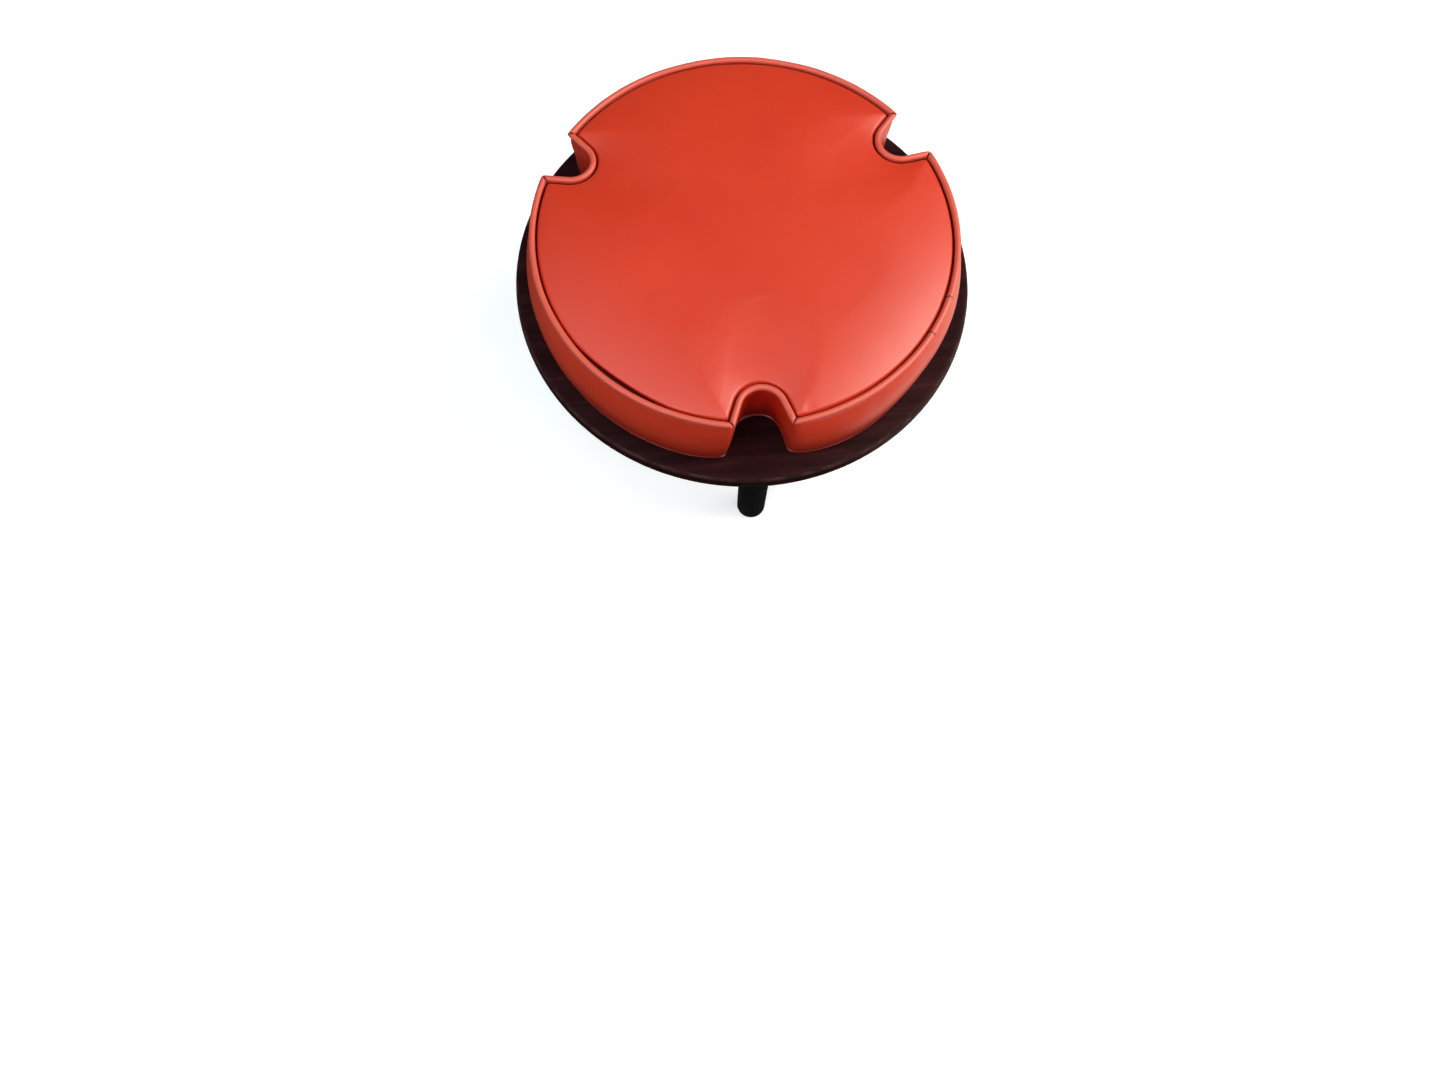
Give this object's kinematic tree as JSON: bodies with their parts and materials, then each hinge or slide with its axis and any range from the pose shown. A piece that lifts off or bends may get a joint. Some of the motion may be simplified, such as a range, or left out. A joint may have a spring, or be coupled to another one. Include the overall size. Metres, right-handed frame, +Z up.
{
  "type": "stacking stool",
  "caption": "Low round stacking stool: three straight legs under a dark board, with a loose boxed vinyl cushion notched above each leg so another stool can stand on it.",
  "frame": {"origin": "on the floor under the middle of the board", "axes": "+Z up, -Y towards the front leg, +X to the right"},
  "size_m": [0.508, 0.508, 0.306],
  "materials": {
    "vinyl_orange": "satin orange-red upholstery vinyl with a fine grain",
    "board_stain": "dark red-brown stained plywood, satin lacquer",
    "leg_black": "black satin lacquer",
    "zinc": "zinc plated steel",
    "nickel": "nickel plated steel",
    "foam": "open-cell cushion foam",
    "cord": "twisted cotton piping cord"
  },
  "bodies": {
    "base": {"seat_board": "board_stain", "leg_front": "leg_black", "leg_plate_front": "zinc", "hanger_bolt_front": "zinc", "foot_glide_front": "nickel", "plate_screw_front_1": "zinc", "plate_screw_front_2": "zinc", "plate_screw_front_3": "zinc", "plate_screw_front_4": "zinc", "leg_rear_right": "leg_black", "leg_plate_rear_right": "zinc", "hanger_bolt_rear_right": "zinc", "foot_glide_rear_right": "nickel", "plate_screw_rear_right_1": "zinc", "plate_screw_rear_right_2": "zinc", "plate_screw_rear_right_3": "zinc", "plate_screw_rear_right_4": "zinc", "leg_rear_left": "leg_black", "leg_plate_rear_left": "zinc", "hanger_bolt_rear_left": "zinc", "foot_glide_rear_left": "nickel", "plate_screw_rear_left_1": "zinc", "plate_screw_rear_left_2": "zinc", "plate_screw_rear_left_3": "zinc", "plate_screw_rear_left_4": "zinc"},
    "cushion": {"foam_core": "foam", "cushion_top_panel": "vinyl_orange", "cushion_boxing": "vinyl_orange", "cushion_bottom_panel": "vinyl_orange", "welt_cover_notch_front": "vinyl_orange", "welt_cord_notch_front": "cord", "welt_cover_notch_rear_right": "vinyl_orange", "welt_cord_notch_rear_right": "cord", "welt_cover_notch_rear_left": "vinyl_orange", "welt_cord_notch_rear_left": "cord", "welt_cover_rim_right": "vinyl_orange", "welt_cord_rim_right": "cord", "welt_cover_rim_rear": "vinyl_orange", "welt_cord_rim_rear": "cord", "welt_cover_rim_left": "vinyl_orange", "welt_cord_rim_left": "cord"}
  },
  "joints": [
    {"name": "cushion_lift", "type": "slide", "parent": "base", "child": "cushion", "axis": [0, 0, 1], "range_m": [0, 0.12]}
  ]
}
